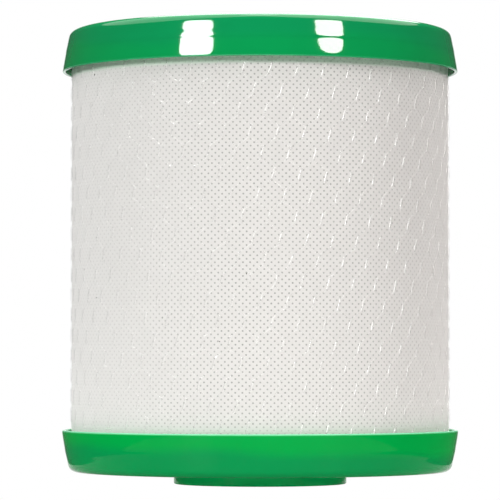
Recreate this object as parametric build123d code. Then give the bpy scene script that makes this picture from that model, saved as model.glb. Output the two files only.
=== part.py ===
from build123d import *
import math
import os

# Drop-in water filter cartridge: a moulded carbon block in a nonwoven wrap and a plastic net,
# closed by two cup-shaped end caps. Water comes in through the net all round, passes the block
# and leaves by the outlet in the middle of the bottom cap.
# Millimetres, +Z up. The origin is the middle of the collar's foot, on which the cartridge stands.

# Carbon block
block_diameter = 108.0
block_length = 123.4

# Nonwoven round the block, a sheet whose edges lap and are welded at the back
wrap_thickness = 0.3
wrap_lap = 12.0

# Net sleeve: strands that climb to the left, and over them strands that climb to the right.
# They cross at the joints of the net. One joint is placed, by its angle from the front, and a
# rising strand goes a step up and a turn to the right from each joint to the next.
rising_strands = 45
falling_strands = 47
rising_step = 5.775
rising_turn = 4.518
joint_height = 70.36
joint_angle = 5.83
strand_width = 0.7
strand_thickness = 0.3
strand_turn = 14.0
net_seat_gap = 0.05
net_layer_gap = 0.02
net_tuck = 5.5
net_clearance = 0.5

# End caps: cups that open wider than their closed ends
cap_height = 12.25
cap_floor = 2.0
skirt_flare = 10.7
skirt_wall = 0.95
cap_corner_radius = 2.4

# Each round is turned as a few flats that lie this near to it, to leave facets for the net
round_depth = 0.2

# Hot-melt bed between each cap and the end of the block
bed_thickness = 1.2

# Spigots, which centre the block, and the outlet through the lower one
outlet_diameter = 24.0
spigot_wall = 2.2
spigot_length = 7.0
spigot_clearance = 0.4
liner_thickness = 0.4

# Collar under the bottom cap, and the gasket in it
collar_diameter = 51.0
collar_height = 3.6
collar_wall = 3.0
gasket_thickness = 2.8
gasket_clearance = 0.15
gasket_hole_diameter = 27.0

# Radii, from the outlet outwards
outlet_radius = outlet_diameter / 2
spigot_radius = outlet_radius + spigot_wall
liner_inside = spigot_radius + spigot_clearance
bore_radius = liner_inside + liner_thickness
block_radius = block_diameter / 2
wrap_radius = block_radius + wrap_thickness
lap_radius = wrap_radius + wrap_thickness
collar_radius = collar_diameter / 2
recess_radius = collar_radius - collar_wall

# Heights, from the collar's foot upwards
bottom_face = collar_height
block_foot = bottom_face + cap_floor + bed_thickness
block_head = block_foot + block_length
top_face = block_head + bed_thickness + cap_floor
net_foot = bottom_face + cap_height - net_tuck
net_head = top_face - cap_height + net_tuck

# The net closes on itself round the block, which gives the falling strands their step and turn.
# Each strand is straight from bend to bend, so it comes nearest to the axis half way between bends.
falling_step = rising_step * falling_strands / rising_strands
falling_turn = (360.0 - rising_turn * falling_strands) / rising_strands
net_length = net_head - net_foot


def strand_slope(hand):
    """Degrees to the right for each millimetre up, for a strand that climbs to the left (-1) or right (1)."""
    return rising_turn / rising_step if hand > 0 else -falling_turn / falling_step


def strand_twist(hand):
    """Angle that a strand turns through from the foot of the net to its head."""
    return net_length * strand_slope(hand)


def strand_spans(hand):
    return math.ceil(abs(strand_twist(hand)) / strand_turn)


def bend_radius(hand, clear_radius):
    """Radius at a strand's bends that keeps the middle of each span clear of what it lies on."""
    return clear_radius / math.cos(math.radians(strand_twist(hand) / strand_spans(hand) / 2))


inner_layer_radius = bend_radius(-1, lap_radius + net_seat_gap)
outer_layer_radius = bend_radius(1, inner_layer_radius + strand_thickness + net_layer_gap)
net_radius = outer_layer_radius + strand_thickness

# The skirt of a cap clears the ends of the net, which are tucked inside its lip
flare = math.tan(math.radians(skirt_flare))
skirt_width = skirt_wall / math.cos(math.radians(skirt_flare))
lip_inside = net_radius + net_clearance + net_tuck * flare
rim_radius = lip_inside + skirt_width
closed_radius = rim_radius - cap_height * flare


def skirt_inside(height):
    """Inside radius of a cap's skirt at a height above its closed face."""
    return lip_inside - (cap_height - height) * flare


def flats_in(edge):
    """How many flats stand for an edge of an outline, which is one where it is straight."""
    if edge.geom_type == GeomType.LINE:
        return 1
    flat_angle = 2 * math.acos(1 - min(round_depth / edge.radius, 1))
    return math.ceil(edge.length / edge.radius / flat_angle)


def turned(corners, rounds=()):
    """Solid turned about Z from (radius, height) corners, some of them rounded first."""
    outline = make_face(Polyline(*corners, close=True))
    for corner, radius in rounds:
        outline = fillet(outline.vertices().sort_by_distance((*corner, 0))[0], radius)
    flats = []
    for edge in outline.edges():
        spans = flats_in(edge)
        flats += [Line(edge @ (span / spans), edge @ ((span + 1) / spans)) for span in range(spans)]
    return revolve(Plane.XZ * make_face(flats), Axis.Z)


def ring(inside, outside, foot, head):
    """Plain ring between two radii and two heights."""
    return turned([(inside, foot), (outside, foot), (outside, head), (inside, head)])


def cup_outline():
    """Outside, lip and inside of a cap, from its closed corner to the foot of its spigot."""
    return [
        (closed_radius, 0),
        (rim_radius, cap_height),
        (lip_inside, cap_height),
        (skirt_inside(cap_floor), cap_floor),
        (spigot_radius, cap_floor),
        (spigot_radius, cap_floor + bed_thickness + spigot_length),
        (outlet_radius, cap_floor + bed_thickness + spigot_length),
    ]


def cup_rounds():
    return [((closed_radius, 0), cap_corner_radius)]


def bottom_end_cap():
    """Cup with the outlet through its spigot and a collar underneath round the gasket's seat."""
    collar = [
        (outlet_radius, 0),
        (recess_radius, 0),
        (recess_radius, -collar_height),
        (collar_radius, -collar_height),
        (collar_radius, 0),
    ]
    return Pos(0, 0, bottom_face) * turned(collar + cup_outline(), cup_rounds())


def top_end_cap():
    """The same cup turned over and closed in the middle."""
    blind_end = [(outlet_radius, cap_floor), (0, cap_floor), (0, 0)]
    cup = turned(cup_outline() + blind_end, cup_rounds())
    return Pos(0, 0, top_face) * Rot(180, 0, 0) * cup


def hot_melt_bed():
    """Adhesive that fills a cap from its spigot to its skirt, up to the end of the block."""
    bed_top = cap_floor + bed_thickness
    return turned([
        (spigot_radius, cap_floor),
        (skirt_inside(cap_floor), cap_floor),
        (skirt_inside(bed_top), bed_top),
        (spigot_radius, bed_top),
    ])


def outlet_gasket():
    """Flat rubber ring in the collar, against the underside of the cap."""
    outside = recess_radius - gasket_clearance
    return ring(gasket_hole_diameter / 2, outside, bottom_face - gasket_thickness, bottom_face)


def prefilter_wrap():
    """Nonwoven sheet round the block, with its lapped seam up the back."""
    sheet = ring(block_radius, wrap_radius, block_foot, block_head)
    lap_angle = math.degrees(wrap_lap / wrap_radius)
    lap_centre = ((wrap_radius + lap_radius) / 2, (block_foot + block_head) / 2)
    lap_section = Pos(*lap_centre) * Rectangle(wrap_thickness, block_length)
    lap = revolve(Plane.XZ * lap_section, Axis.Z, lap_angle)
    return sheet + Rot(0, 0, 90 - lap_angle / 2) * lap


def net_strand(radius, hand):
    """One strand of the net, a flat-backed ridge that climbs round the block."""
    half_angle = math.degrees(strand_width / 2 / radius)
    spans = strand_spans(hand)
    sections = []
    for bend in range(spans + 1):
        height = net_foot + net_length * bend / spans
        angle = joint_angle + strand_slope(hand) * (height - joint_height) - 90
        level = Plane.XY.offset(height)
        corners = [
            Vector(radius, 0).rotate(Axis.Z, angle - half_angle),
            Vector(radius, 0).rotate(Axis.Z, angle + half_angle),
            Vector(radius + strand_thickness, 0).rotate(Axis.Z, angle),
        ]
        sections.append(level * make_face(Polyline(*corners, close=True)))
    return loft(sections, ruled=True)


def net_sleeve():
    """Both layers of the net, with the strands that climb to the right outside."""
    layers = [
        (net_strand(inner_layer_radius, -1), falling_strands),
        (net_strand(outer_layer_radius, 1), rising_strands),
    ]
    return Compound([Rot(0, 0, 360.0 * turn / count) * strand for strand, count in layers for turn in range(count)])


pieces = {
    "bottom_end_cap": bottom_end_cap(),
    "top_end_cap": top_end_cap(),
    "outlet_gasket": outlet_gasket(),
    "bottom_hot_melt": Pos(0, 0, bottom_face) * hot_melt_bed(),
    "top_hot_melt": Pos(0, 0, top_face) * Rot(180, 0, 0) * hot_melt_bed(),
    "carbon_block": ring(bore_radius, block_radius, block_foot, block_head),
    "core_liner": ring(liner_inside, bore_radius, block_foot, block_head),
    "prefilter_wrap": prefilter_wrap(),
    "net_sleeve": net_sleeve(),
}

os.makedirs("parts", exist_ok=True)
for name, piece in pieces.items():
    export_step(piece, f"parts/{name}.step")

print("rim diameter", round(2 * rim_radius, 2), "height", round(top_face, 2), "net", round(2 * net_radius, 2))
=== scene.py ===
import math

import bmesh
import bpy
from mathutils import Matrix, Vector, noise


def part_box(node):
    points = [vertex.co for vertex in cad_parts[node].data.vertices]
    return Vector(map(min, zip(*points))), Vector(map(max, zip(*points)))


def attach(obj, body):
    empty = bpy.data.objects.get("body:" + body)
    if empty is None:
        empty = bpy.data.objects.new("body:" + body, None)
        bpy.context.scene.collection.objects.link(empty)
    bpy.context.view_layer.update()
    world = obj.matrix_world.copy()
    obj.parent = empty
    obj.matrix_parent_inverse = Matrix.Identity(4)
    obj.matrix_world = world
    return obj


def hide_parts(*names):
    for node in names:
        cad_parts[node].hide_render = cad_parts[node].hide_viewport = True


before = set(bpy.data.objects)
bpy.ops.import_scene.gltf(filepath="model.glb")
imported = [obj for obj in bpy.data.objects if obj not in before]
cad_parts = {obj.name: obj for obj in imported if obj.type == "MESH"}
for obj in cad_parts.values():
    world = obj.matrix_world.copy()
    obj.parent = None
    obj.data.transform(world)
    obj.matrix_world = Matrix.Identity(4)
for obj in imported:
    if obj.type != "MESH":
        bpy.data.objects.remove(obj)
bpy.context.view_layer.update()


# Carbon block: a thick hollow cylinder of carbon powder, pressed and baked with a plastic binder.
# It fills the cartridge and is wrapped all round, so it shows only from inside the outlet.

mm = 0.001


class Wire:
    """One output socket in a material's nodes. Sums and products of wires add Math nodes."""

    def __init__(self, tree, socket=None):
        self.tree = tree
        self.socket = socket

    def node(self, kind, settings=None, inputs=None, output=0):
        """Adds a node: its settings first, then a value or a wire for each named input."""
        made = self.tree.nodes.new(kind)
        for name, value in (settings or {}).items():
            setattr(made, name, value)
        for name, value in (inputs or {}).items():
            self.feed(made.inputs[name], value)
        return Wire(self.tree, made.outputs[output])

    def feed(self, socket, value):
        if isinstance(value, Wire):
            self.tree.links.new(value.socket, socket)
        else:
            socket.default_value = value

    def sum_with(self, operation, first, second):
        return self.node("ShaderNodeMath", {"operation": operation}, {0: first, 1: second})

    def __add__(self, other):
        return self.sum_with("ADD", self, other)

    def __radd__(self, other):
        return self.sum_with("ADD", other, self)

    def __sub__(self, other):
        return self.sum_with("SUBTRACT", self, other)

    def __rsub__(self, other):
        return self.sum_with("SUBTRACT", other, self)

    def __mul__(self, other):
        return self.sum_with("MULTIPLY", self, other)

    def __rmul__(self, other):
        return self.sum_with("MULTIPLY", other, self)


def new_material(name, **constants):
    """A material, its shader with the given constants set, and a wire to add nodes with."""
    material = bpy.data.materials.new(name)
    material.use_nodes = True
    shader = material.node_tree.nodes["Principled BSDF"]
    for socket, value in constants.items():
        shader.inputs[socket.replace("_", " ")].default_value = value
    return material, shader, Wire(material.node_tree)


def paint(node_name, material):
    """Gives a piece of the frame its material."""
    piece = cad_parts[node_name]
    piece.data.materials.clear()
    piece.data.materials.append(material)


carbon_dark = (0.012, 0.012, 0.013, 1)
carbon_light = (0.045, 0.045, 0.047, 1)
carbon_grain = 0.6 * mm

carbon, shader, wires = new_material("pressed_carbon", Roughness=0.9)
place = wires.node("ShaderNodeTexCoord", output="Object")
grains = wires.node("ShaderNodeTexVoronoi", {}, {"Vector": place, "Scale": 1 / carbon_grain}, "Color")
grain_level = wires.node("ShaderNodeSeparateColor", {}, {"Color": grains}, "Red")
carbon_tone = wires.node(
    "ShaderNodeMix",
    {"data_type": "RGBA"},
    {0: grain_level * grain_level, 6: carbon_dark, 7: carbon_light},
    2,
)
wires.feed(shader.inputs["Base Color"], carbon_tone)
carbon_relief = wires.node(
    "ShaderNodeBump", {}, {"Strength": 0.6, "Distance": 0.15 * mm, "Height": grain_level}, "Normal"
)
wires.feed(shader.inputs["Normal"], carbon_relief)
paint("carbon_block", carbon)


# Nonwoven: polypropylene fibres laid at random and welded together in rows of small bond dots,
# which are thin and let the dark block show through. One piece lines the bore of the block.

fibre_white = (0.84, 0.835, 0.82, 1)
dot_grey = (0.46, 0.456, 0.448, 1)
dot_edge = (0.95, 1.8)
# Share of the painted lip light on the wrap where it is full.
lip_light_strength = 0.6
fibre_size = 0.35 * mm
cloud_size = 9 * mm


def nonwoven(name, lattice, clear_side, faintest, lip_lights):
    """Nonwoven round the axis. lattice gives each set of dot rows as (waves a turn, waves a metre, phase).
    The dots are clearest clear_side degrees from the front and behind that, and faintest half way between:
    painted light that fills them at the sides.
    The last argument gives each edge where painted light from a cap's lip is mixed in, as (height where it
    begins, height where it is full, colour)."""
    material, shader, wires = new_material(
        name,
        Roughness=0.85,
        Diffuse_Roughness=0.7,
        Sheen_Weight=0.1,
        Sheen_Roughness=0.5,
        Specular_IOR_Level=0.25,
    )
    place = wires.node("ShaderNodeTexCoord", output="Object")
    x, y, z = (wires.node("ShaderNodeSeparateXYZ", {}, {0: place}, axis) for axis in "XYZ")
    angle = wires.sum_with("ARCTAN2", x, 0 - y)
    rows = [
        wires.node("ShaderNodeMath", {"operation": "COSINE"}, {0: angle * turn + z * rise + phase})
        for turn, rise, phase in lattice
    ]
    dot = wires.node(
        "ShaderNodeMapRange",
        {"interpolation_type": "SMOOTHSTEP"},
        {"Value": rows[0] + rows[1], "From Min": dot_edge[0], "From Max": dot_edge[1]},
    )
    fibres = wires.node(
        "ShaderNodeTexNoise",
        {},
        {"Vector": place, "Scale": 1 / fibre_size, "Detail": 3, "Roughness": 0.6},
        "Fac",
    )
    clouds = wires.node(
        "ShaderNodeTexNoise",
        {},
        {"Vector": place, "Scale": 1 / cloud_size, "Detail": 4, "Roughness": 0.55},
        "Fac",
    )
    # Painted light: the dots' shade fades towards the sides, where light fills them.
    toward = wires.node("ShaderNodeMath", {"operation": "COSINE"}, {0: angle - math.radians(clear_side)})
    shows = wires.node(
        "ShaderNodeMapRange",
        {"interpolation_type": "SMOOTHSTEP"},
        {"Value": toward * toward, "From Min": 0.25, "From Max": 0.95, "To Min": faintest},
    )
    tone = 0.93 + 0.1 * fibres + 0.05 * clouds
    dotted = wires.node(
        "ShaderNodeMix",
        {"data_type": "RGBA"},
        {0: dot * shows * (0.55 + 0.7 * clouds), 6: fibre_white, 7: dot_grey},
        2,
    )
    # Painted light from the caps' lips, mixed into the colour near each edge of the wrap.
    for begins, full, colour in lip_lights:
        lip_light = wires.node(
            "ShaderNodeMapRange",
            {"interpolation_type": "SMOOTHSTEP"},
            {"Value": z, "From Min": begins, "From Max": full, "To Max": lip_light_strength},
        )
        dotted = wires.node("ShaderNodeMix", {"data_type": "RGBA"}, {0: lip_light, 6: dotted, 7: colour}, 2)
    toned = wires.node("ShaderNodeVectorMath", {"operation": "SCALE"}, {0: dotted, "Scale": tone})
    wires.feed(shader.inputs["Base Color"], toned)
    wires.feed(shader.inputs["Roughness"], 0.9 - 0.35 * dot)
    relief = wires.node(
        "ShaderNodeBump",
        {},
        {"Strength": 0.5, "Distance": 0.08 * mm, "Height": 0.5 * fibres - dot},
        "Normal",
    )
    wires.feed(shader.inputs["Normal"], relief)
    return material


dot_row = 1.92 * mm
liner_dots = 46
liner_rows = [(hand * liner_dots, math.tau / dot_row, 0.0) for hand in (1, -1)]
paint("core_liner", nonwoven("liner_nonwoven", liner_rows, 0, 1, []))


# Prefilter wrap: one sheet of the nonwoven, rolled round the block with its edges lapped at the back.
# Light that comes through the translucent lips of the caps tints its edges, and that is painted on.

wrap_foot, wrap_head = (corner.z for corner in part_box("prefilter_wrap"))
wrap_outside = 55.55 * mm
wrap_thickness = 0.3 * mm
wrap_lap = 12 * mm
wrap_length = wrap_head - wrap_foot
wrap_width = math.tau * (wrap_outside - wrap_thickness / 2) + wrap_lap
wrap_steps = (400, 40)

bpy.ops.object.select_all(action="DESELECT")
bpy.ops.mesh.primitive_grid_add(x_subdivisions=wrap_steps[0], y_subdivisions=wrap_steps[1], size=1)
wrap = bpy.context.object
wrap.name = "prefilter_sheet"
for vertex in wrap.data.vertices:
    along = (vertex.co.x + 0.5) * wrap_width
    lapped = max(0, along - (wrap_width - 2 * wrap_lap)) / wrap_lap
    radius = wrap_outside - wrap_thickness + min(1, lapped) * wrap_thickness
    turn = math.pi / 2 + (along - wrap_lap / 2) / (wrap_outside - wrap_thickness / 2)
    height = wrap_foot + (vertex.co.y + 0.5) * wrap_length
    vertex.co = (radius * math.cos(turn), radius * math.sin(turn), height)
bpy.ops.object.mode_set(mode="EDIT")
bpy.ops.mesh.select_all(action="SELECT")
bpy.ops.mesh.normals_make_consistent(inside=False)
bpy.ops.object.mode_set(mode="OBJECT")
felt = wrap.modifiers.new("felt", "SOLIDIFY")
felt.thickness = wrap_thickness
felt.offset = 1
bpy.ops.object.modifier_apply(modifier=felt.name)
bpy.ops.object.shade_smooth_by_angle(angle=math.radians(40))

wrap_rows = [
    (175.592, math.tau * 520.4, 1.789),
    (-175.464, math.tau * 525.02, 1.076),
]
# The wrap's dots are painted fainter towards its sides, where light fills them.
wrap_clear_side = 10
wrap_faintest = 0.35
top_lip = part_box("top_end_cap")[0].z
bottom_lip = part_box("bottom_end_cap")[1].z
# Painted light at the wrap's edges: green light through the top cap's lip in the shade under it, and a
# paler band that lifts the shade above the bottom cap's lip.
wrap_lip_lights = [
    (top_lip - 2.25 * mm, top_lip - 0.75 * mm, (0.74, 1.0, 0.80, 1)),
    (bottom_lip + 2.8 * mm, bottom_lip + 0.6 * mm, (0.89, 0.91, 0.88, 1)),
]
wrap.data.materials.append(nonwoven("wrap_nonwoven", wrap_rows, wrap_clear_side, wrap_faintest, wrap_lip_lights))
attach(wrap, "root")
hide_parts("prefilter_wrap")


# Loose grains of carbon from the block's ends, caught on the wrap when the cartridge was put together.

grain_radius = 0.16 * mm
grain_places = [
    (-29.5, 48.3, 0.9),
    (-11.7, 41.6, 0.9),
    (-3.9, 60.5, 1.0),
    (-58.8, 118.4, 1.3),
    (-57.4, 71.5, 0.7),
    (-57.4, 54.3, 1.0),
    (105.0, 33.0, 0.9),
    (128.0, 97.0, 1.2),
    (-152.0, 66.0, 1.0),
]

bpy.ops.object.select_all(action="DESELECT")
grains = []
for angle, height, size in grain_places:
    turn = math.radians(angle - 90)
    spot = (wrap_outside * math.cos(turn), wrap_outside * math.sin(turn), height * mm)
    bpy.ops.mesh.primitive_ico_sphere_add(subdivisions=2, radius=grain_radius * size, location=spot)
    grain = bpy.context.object
    grain.scale = (1.0, 1.0, 0.8 + 0.3 * size)
    grain.data.materials.append(carbon)
    grains.append(grain)
bpy.ops.object.select_all(action="DESELECT")
for grain in grains:
    grain.select_set(True)
bpy.ops.object.join()
bpy.ops.object.transform_apply(location=True, rotation=True, scale=True)
grain = bpy.context.object
grain.name = "carbon_grains"
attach(grain, "root")


# Net sleeve: a tube of extruded polyethylene net, drawn over the wrap while it is stretched.
# Strands of two hands run together at each joint, so the meshes are six-sided. The plastic is clear, so it
# is drawn as a mirror of under a tenth, which is what its two faces send back, and it casts no shadow.

net_foot, net_head = (corner.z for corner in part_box("net_sleeve"))
rising_strands = 45
falling_strands = 47
rising_step = (4.518, 5.775 * mm)
falling_step = (
    (rising_step[0] * falling_strands - 360) / rising_strands,
    rising_step[1] * falling_strands / rising_strands,
)
first_joint = (-1.60, -0.48 * mm)
joint_half = 1.65 * mm
side_lean = math.radians(12)
front_lean = math.radians(18)
front_reach = 50
strand_half_width = 0.42 * mm
strand_thin = 0.35
rising_radius = wrap_outside + 0.02 * mm
falling_radius = wrap_outside - 0.02 * mm
net_wander = 0.22 * mm
wander_size = 14 * mm
wander_seed = 7

bpy.ops.object.select_all(action="DESELECT")
bpy.ops.curve.primitive_nurbs_path_add()
net = bpy.context.object
net.name = "net_tube"
net.data.splines.clear()
noise.seed_set(wander_seed)


def wandered(angle, height, radius):
    """A point on the net, with the uneven stretch of the real one."""
    turn = math.radians(angle - 90)
    level = Vector((rising_radius * math.cos(turn), rising_radius * math.sin(turn), height))
    drift = noise.noise_vector(level / wander_size) * net_wander
    turn += drift.x / rising_radius
    return (radius * math.cos(turn), radius * math.sin(turn), height + drift.y, 1)


def bar_turn(angle):
    """Degrees round the axis that half a bar covers. The bars lean more in front than at the sides."""
    front = max(0, 1 - abs(angle) / front_reach)
    lean = side_lean + (front_lean - side_lean) * front
    return math.degrees(joint_half * math.tan(lean) / rising_radius)


def lay_strand(start, step, radius):
    """One strand: at each joint it runs up the joint's bar, and between joints it slants and is thinner."""
    lowest = math.ceil((net_foot - start[1]) / step[1])
    highest = math.floor((net_head - start[1]) / step[1])
    points = []
    for joint in range(lowest, highest + 1):
        angle = start[0] + joint * step[0]
        height = start[1] + joint * step[1]
        turned = (angle + 180) % 360 - 180
        for share in (-1, -0.8, 0.8, 1):
            spot = (angle + share * bar_turn(turned), height + share * joint_half)
            points.append((wandered(*spot, radius), 1))
        for share in (-0.25, 0.25):
            spot = (angle + step[0] * (0.5 + share / 2), height + step[1] * (0.5 + share / 4))
            points.append((wandered(*spot, radius), strand_thin))
    strand = net.data.splines.new("POLY")
    strand.points.add(len(points) - 1)
    for point, (co, swell) in zip(strand.points, points):
        point.co = co
        point.radius = swell


for strand in range(rising_strands):
    start = [first_joint[axis] + strand * falling_step[axis] for axis in (0, 1)]
    lay_strand(start, rising_step, rising_radius)
for strand in range(falling_strands):
    start = [first_joint[axis] + strand * rising_step[axis] for axis in (0, 1)]
    lay_strand(start, falling_step, falling_radius)
net.data.dimensions = "3D"
net.data.bevel_depth = strand_half_width
net.data.bevel_resolution = 2
net.data.use_fill_caps = True
bpy.ops.object.convert(target="MESH")
net = bpy.context.object
bpy.ops.object.shade_smooth()

net_clear = (0.98, 0.98, 0.98)
net_plastic, shader, wires = new_material("net_plastic", Metallic=1.0, Alpha=0.085)
place = wires.node("ShaderNodeTexCoord", output="Object")
haze = wires.node("ShaderNodeTexNoise", {}, {"Vector": place, "Scale": 1 / (2 * mm), "Detail": 2}, "Fac")
net_tone = wires.node(
    "ShaderNodeVectorMath", {"operation": "SCALE"}, {0: net_clear, "Scale": 0.95 + 0.08 * haze}
)
wires.feed(shader.inputs["Base Color"], net_tone)
wires.feed(shader.inputs["Roughness"], 0.2 + 0.1 * haze)
net.data.materials.clear()
net.data.materials.append(net_plastic)
net.visible_shadow = False
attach(net, "root")
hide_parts("net_sleeve")


# Hot melt: the adhesive poured into each cap before the block is set in it. It seals the block's end.

melt_cream = (0.80, 0.75, 0.62, 1)
melt_pale = (0.88, 0.85, 0.76, 1)
hot_melt, shader, wires = new_material(
    "hot_melt",
    Roughness=0.35,
    Subsurface_Weight=0.3,
    Subsurface_Radius=(1.0, 0.8, 0.5),
    Subsurface_Scale=2 * mm,
)
place = wires.node("ShaderNodeTexCoord", output="Object")
swirl = wires.node(
    "ShaderNodeTexNoise",
    {},
    {"Vector": place, "Scale": 1 / (6 * mm), "Detail": 3, "Distortion": 1.5},
    "Fac",
)
melt_tone = wires.node("ShaderNodeMix", {"data_type": "RGBA"}, {0: swirl, 6: melt_cream, 7: melt_pale}, 2)
wires.feed(shader.inputs["Base Color"], melt_tone)
melt_relief = wires.node(
    "ShaderNodeBump", {}, {"Strength": 0.3, "Distance": 0.3 * mm, "Height": swirl}, "Normal"
)
wires.feed(shader.inputs["Normal"], melt_relief)
for node_name in ("bottom_hot_melt", "top_hot_melt"):
    paint(node_name, hot_melt)


# End caps: injection-moulded cups of green polypropylene, glossy and a little translucent. Light in the
# plastic is painted into the greens: a brighter skirt above the adhesive for light coming through it, a
# pale line at the lip for its highlight and the light through the thin edge, a bright collar for light in
# the shade under the cap, and brighter greens on the bottom cap, which takes light from below. Each skirt
# flares to a thin lip, and a faint step runs round it at the level of the adhesive inside.

rim_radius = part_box("bottom_end_cap")[1].x
bottom_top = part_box("bottom_end_cap")[1].z
top_foot, top_face = (corner.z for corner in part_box("top_end_cap"))
cap_height = top_face - top_foot
bottom_face = bottom_top - cap_height
cap_floor = 2.0 * mm
skirt_wall = 0.97 * mm
skirt_flare = math.tan(math.radians(10.7))
skirt_bow = 0.06 * mm
melt_level = 6.65 * mm
skirt_steps = [(6.65 * mm, 0.056 * mm, 0.19 * mm), (4.9 * mm, -0.03 * mm, 0.28 * mm)]
corner_blend = (0.016 * mm, 0.5 * mm)
lip_curl = (0.10 * mm, 1.1 * mm)
corner_radius = 2.4 * mm
lip_round = 0.35 * mm
spigot_top = 10.2 * mm
spigot_radius = 14.2 * mm
outlet_radius = 12.0 * mm
collar_radius = 25.5 * mm
collar_height = bottom_face
collar_wall = 3.0 * mm
collar_round = 0.4 * mm
turning_steps = 256
skirt_points = 100
round_points = 8


def skirt_outside(height):
    """Outside radius of a skirt at a height above the closed face."""
    line = rim_radius - (cap_height - height) * skirt_flare
    bow = skirt_bow * math.sin(math.pi * height / cap_height)
    steps = sum(depth / (1 + math.exp((height - level) / width)) for level, depth, width in skirt_steps)
    blend = corner_blend[0] * math.exp((0.8 * corner_radius - height) / corner_blend[1])
    curl = lip_curl[0] * (math.exp((height - cap_height) / lip_curl[1]) - 0.5)
    return line + bow + steps - blend - curl


def arc(centre, radius, first, last):
    """Points of a round in an outline, between two angles in degrees."""
    points = []
    for point in range(round_points + 1):
        turn = math.radians(first + (last - first) * point / round_points)
        points.append((centre[0] + radius * math.cos(turn), centre[1] + radius * math.sin(turn)))
    return points


def cup_outline():
    """Outline of a cup from the edge of its closed face over the lip to the top of its spigot."""
    flare_angle = math.degrees(math.atan(skirt_flare))
    corner_height = corner_radius * (1 - math.sin(math.radians(flare_angle)))
    corner_reach = corner_radius * math.cos(math.radians(flare_angle))
    corner_centre = (skirt_outside(corner_height) - corner_reach, corner_radius)
    skirt_head = cap_height - lip_round
    skirt = []
    for point in range(1, skirt_points):
        height = corner_height + (skirt_head - corner_height) * point / skirt_points
        skirt.append((skirt_outside(height), height))
    lip_outside = skirt_outside(skirt_head)
    outer_lip = arc((lip_outside - lip_round, skirt_head), lip_round, 0, 90)
    lip_inside = lip_outside - skirt_wall
    inner_lip = arc((lip_inside + lip_round, skirt_head), lip_round, 90, 180)
    floor_radius = lip_inside - (skirt_head - cap_floor) * skirt_flare
    return (
        arc(corner_centre, corner_radius, -90, -flare_angle)
        + skirt
        + outer_lip
        + inner_lip
        + [(floor_radius, cap_floor), (spigot_radius, cap_floor), (spigot_radius, spigot_top)]
    )


def turn_piece(name, outline, closed):
    """Draws an outline of (radius, height) points as a chain of edges and spins it about the axis."""
    bpy.ops.object.select_all(action="DESELECT")
    bpy.ops.mesh.primitive_plane_add(size=mm)
    piece = bpy.context.object
    piece.name = name
    bpy.ops.object.mode_set(mode="EDIT")
    bpy.ops.mesh.select_mode(type="VERT")
    bpy.ops.mesh.select_all(action="SELECT")
    bpy.ops.mesh.merge(type="CENTER")
    bpy.ops.transform.translate(value=(outline[0][0], 0, outline[0][1]))
    for (radius, height), (next_radius, next_height) in zip(outline, outline[1:]):
        move = (next_radius - radius, 0, next_height - height)
        bpy.ops.mesh.extrude_vertices_move(TRANSFORM_OT_translate={"value": move})
    if closed:
        mesh = bmesh.from_edit_mesh(piece.data)
        mesh.verts.ensure_lookup_table()
        mesh.verts[0].select = True
        mesh.select_flush_mode()
        bmesh.update_edit_mesh(piece.data)
        bpy.ops.mesh.edge_face_add()
    bpy.ops.mesh.select_all(action="SELECT")
    bpy.ops.mesh.spin(steps=turning_steps, angle=math.tau, center=(0, 0, 0), axis=(0, 0, 1))
    bpy.ops.mesh.select_all(action="SELECT")
    bpy.ops.mesh.remove_doubles(threshold=0.002 * mm)
    bpy.ops.mesh.normals_make_consistent(inside=False)
    bpy.ops.object.mode_set(mode="OBJECT")
    bpy.ops.object.shade_smooth_by_angle(angle=math.radians(35))
    return piece


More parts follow.
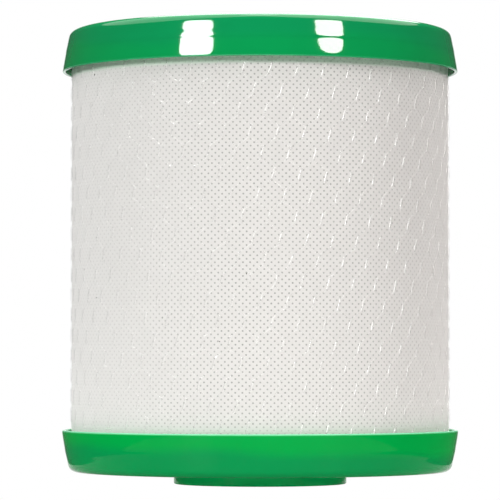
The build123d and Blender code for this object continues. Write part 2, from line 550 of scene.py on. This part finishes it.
def cap_green(name, face_height, up, potted, open_skirt_lit, lip_painted_light, gloss):
    """Green plastic, of one tone where adhesive backs the skirt and a brighter one towards the thin lip,
    which is painted light coming through the plastic; the pale lip and the bright collar are painted light
    too.
    face_height is the height of the cap's closed face, and up is 1 where its cup opens upwards."""
    # Painted light on the collar, which sits in the shade under the cap.
    collar_painted_light = (0.001, 0.86, 0.22, 1)
    material, shader, wires = new_material(name, IOR=1.49, Specular_IOR_Level=gloss)
    place = wires.node("ShaderNodeTexCoord", output="Object")
    z = wires.node("ShaderNodeSeparateXYZ", {}, {0: place}, "Z")
    height = (z - face_height) * up
    pour = wires.node(
        "ShaderNodeTexNoise", {}, {"Vector": place, "Scale": 1 / (40 * mm), "Detail": 1}, "Fac"
    )
    level = height + (pour - 0.5) * (8 * mm)
    # Painted light through the skirt: brighter above the adhesive's level, which wanders round the cap.
    light_through_mask = wires.node(
        "ShaderNodeMapRange",
        {"interpolation_type": "SMOOTHSTEP"},
        {"Value": level, "From Min": melt_level - 2 * mm, "From Max": melt_level + 2.5 * mm},
    )
    # Painted highlight and light through the thin lip: a pale band in its last half millimetre.
    lip = wires.node(
        "ShaderNodeMapRange",
        {"interpolation_type": "SMOOTHSTEP"},
        {"Value": height, "From Min": cap_height - 0.6 * mm, "From Max": cap_height - 0.1 * mm},
    )
    skirt_tone = wires.node(
        "ShaderNodeMix", {"data_type": "RGBA"}, {0: light_through_mask, 6: potted, 7: open_skirt_lit}, 2
    )
    lip_tone = wires.node("ShaderNodeMix", {"data_type": "RGBA"}, {0: lip, 6: skirt_tone, 7: lip_painted_light}, 2)
    # The collar, below the closed face, takes its painted light.
    collar_light_mask = wires.sum_with("LESS_THAN", height, -0.1 * mm)
    cap_tone = wires.node(
        "ShaderNodeMix", {"data_type": "RGBA"}, {0: collar_light_mask, 6: lip_tone, 7: collar_painted_light}, 2
    )
    flow = wires.node(
        "ShaderNodeTexNoise",
        {},
        {"Vector": place, "Scale": 1 / (15 * mm), "Detail": 3, "Distortion": 0.8},
        "Fac",
    )
    toned = wires.node(
        "ShaderNodeVectorMath", {"operation": "SCALE"}, {0: cap_tone, "Scale": 0.95 + 0.1 * flow}
    )
    wires.feed(shader.inputs["Base Color"], toned)
    wires.feed(shader.inputs["Roughness"], 0.03 + 0.04 * flow)
    return material


bottom_outline = [
    (outlet_radius, 0),
    (collar_radius - collar_wall, 0),
    (collar_radius - collar_wall, -collar_height),
    *arc((collar_radius - collar_round, collar_round - collar_height), collar_round, -90, 0),
    (collar_radius, 0),
    *cup_outline(),
    (outlet_radius, spigot_top),
]
bottom_cap = turn_piece(
    "bottom_cap", [(radius, bottom_face + height) for radius, height in bottom_outline], closed=True
)
# The bottom cap's greens are brighter than the top cap's: painted light from the floor and through its
# upward-opening lip.
bottom_potted = (0.001, 0.32, 0.082, 1)
bottom_open_lit = (0, 0.415, 0.068, 1)
bottom_lip_painted_light = (0.25, 0.85, 0.48, 1)
bottom_gloss = 0.08
bottom_cap.data.materials.append(
    cap_green("bottom_green", bottom_face, 1, bottom_potted, bottom_open_lit, bottom_lip_painted_light, bottom_gloss)
)
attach(bottom_cap, "root")
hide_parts("bottom_end_cap")

top_outline = [
    (0, 0),
    *cup_outline(),
    (outlet_radius, spigot_top),
    (outlet_radius, cap_floor),
    (0, cap_floor),
]
top_cap = turn_piece(
    "top_cap", [(radius, top_face - height) for radius, height in top_outline], closed=False
)
# The top cap's brighter skirt and pale lip line are painted light, as on the bottom cap.
top_potted = (0.001, 0.30, 0.092, 1)
top_open_lit = (0, 0.33, 0.082, 1)
top_lip_painted_light = (0.02, 0.45, 0.17, 1)
top_gloss = 0.7
top_cap.data.materials.append(
    cap_green("top_green", top_face, -1, top_potted, top_open_lit, top_lip_painted_light, top_gloss)
)
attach(top_cap, "root")
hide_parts("top_end_cap")


# Outlet gasket: a flat ring of black rubber pressed into the collar, which seals on the housing's seat.

rubber_black = (0.018, 0.018, 0.019, 1)
rubber, shader, wires = new_material("gasket_rubber", Roughness=0.5)
place = wires.node("ShaderNodeTexCoord", output="Object")
bloom = wires.node("ShaderNodeTexNoise", {}, {"Vector": place, "Scale": 1 / (3 * mm), "Detail": 4}, "Fac")
rubber_tone = wires.node(
    "ShaderNodeVectorMath", {"operation": "SCALE"}, {0: rubber_black[:3], "Scale": 0.8 + 0.6 * bloom}
)
wires.feed(shader.inputs["Base Color"], rubber_tone)
wires.feed(shader.inputs["Roughness"], 0.4 + 0.25 * bloom)
paint("outlet_gasket", rubber)


# Studio: a white sheet on a dark floor, a white card behind, two round softboxes in front and dim
# light all round. To the camera the floor is white except close to the cartridge, where it is shaded.

studio_white = (1, 1, 1, 1)
floor_pale = (0.7, 0.7, 0.7, 1)
floor_dark = (0.05, 0.05, 0.05, 1)
floor_size = 8.0
floor_drop = 8 * mm
sheet_half_width = 106 * mm
card_width = 0.8
card_height = 0.7
card_distance = 1.6


def white_when_seen(name, near_share, near, far, mirror_near, mirror_far):
    """White to the camera beyond a distance from the middle, and in mirrors beyond another distance.
    Nearer than that the camera sees near_share of white, so that the object's shadow shows."""
    material, shader, wires = new_material(name, Roughness=0.35)
    place = wires.node("ShaderNodeTexCoord", output="Object")
    x = wires.node("ShaderNodeSeparateXYZ", {}, {0: place}, "X")
    aside = wires.node("ShaderNodeMath", {"operation": "ABSOLUTE"}, {0: x})
    bare = wires.sum_with("GREATER_THAN", aside, sheet_half_width)
    tone = wires.node("ShaderNodeMix", {"data_type": "RGBA"}, {0: bare, 6: floor_pale, 7: floor_dark}, 2)
    wires.feed(shader.inputs["Base Color"], tone)
    path = {ray: wires.node("ShaderNodeLightPath", output=ray) for ray in
            ("Is Camera Ray", "Is Glossy Ray", "Is Transmission Ray")}
    away = wires.node("ShaderNodeVectorMath", {"operation": "LENGTH"}, {0: place}, "Value")
    clear = wires.node("ShaderNodeMapRange", {}, {"Value": away, "From Min": near, "From Max": far})
    distant = wires.node(
        "ShaderNodeMapRange", {}, {"Value": away, "From Min": mirror_near, "From Max": mirror_far}
    )
    mirrored = (path["Is Glossy Ray"] + path["Is Transmission Ray"]) * distant
    seen = path["Is Camera Ray"] * (near_share + (1 - near_share) * clear) + mirrored
    glow = wires.node("ShaderNodeEmission", {}, {"Color": studio_white, "Strength": 1.0})
    output = material.node_tree.nodes["Material Output"]
    lit = Wire(wires.tree, shader.outputs[0])
    mixed = wires.node("ShaderNodeMixShader", {}, {0: seen, 1: lit, 2: glow})
    wires.feed(output.inputs["Surface"], mixed)
    return material


bpy.ops.object.select_all(action="DESELECT")
bpy.ops.mesh.primitive_plane_add(size=floor_size, location=(0, 0, -floor_drop))
floor = bpy.context.object
floor.name = "floor"
floor.data.materials.append(white_when_seen("floor_white", 0.6, 0.04, 0.072, 0.5, 1.0))

bpy.ops.mesh.primitive_plane_add(
    size=1, location=(0, card_distance, card_height / 2), rotation=(math.radians(90), 0, 0)
)
card = bpy.context.object
card.name = "card"
card.scale = (card_width, card_height, 1)
card.data.materials.append(white_when_seen("card_white", 1.0, 0.0, 0.01, 0.0, 0.01))

world = bpy.data.worlds.new("studio")
world.use_nodes = True
world.node_tree.nodes["Background"].inputs["Color"].default_value = (1, 1, 1, 1)
world.node_tree.nodes["Background"].inputs["Strength"].default_value = 0.07
bpy.context.scene.world = world

lit_point = Vector((0, -rim_radius, top_face))
softbox_distance = 1.3


def softbox(name, azimuth, elevation, spread, radiance, colour):
    """A round softbox in a direction from the front of the top cap, spread degrees across."""
    around, above = math.radians(azimuth), math.radians(elevation)
    toward = Vector((
        math.sin(around) * math.cos(above), -math.cos(around) * math.cos(above), math.sin(above)
    ))
    light = bpy.data.lights.new(name, "AREA")
    light.shape = "DISK"
    light.size = 2 * softbox_distance * math.tan(math.radians(spread / 2))
    light.energy = radiance * math.pi * math.pi * (light.size / 2) ** 2
    light.color = colour
    lamp = bpy.data.objects.new(name, light)
    lamp.location = lit_point + toward * softbox_distance
    lamp.rotation_euler = (-toward).to_track_quat("-Z", "Y").to_euler()
    bpy.context.scene.collection.objects.link(lamp)


softbox("left_softbox", -39.5, 23.2, 19.5, 19.2, (1.0, 0.995, 0.98))
softbox("right_softbox", 44.5, 27.3, 16.2, 17.6, (1.0, 0.95, 0.925))
softbox("overhead_softbox", 0, 90, 50, 0.4, (1.0, 1.0, 1.0))
softbox("left_fill", -100, 60, 70, 1.4, (1.0, 1.0, 1.0))
softbox("right_fill", 100, 60, 70, 2.0, (1.0, 0.95, 0.925))
softbox("back_softbox", 172, 45, 40, 4.5, (1.0, 1.0, 1.0))

camera = bpy.data.objects.new("camera", bpy.data.cameras.new("camera"))
camera.location = (0, -0.9595, 0.0376)
camera.rotation_euler = (math.radians(91.868), 0, math.radians(0.178))
camera.data.lens = 233.8
camera.data.sensor_width = 36
bpy.context.scene.collection.objects.link(camera)
bpy.context.scene.camera = camera
bpy.context.scene.view_settings.view_transform = "Standard"
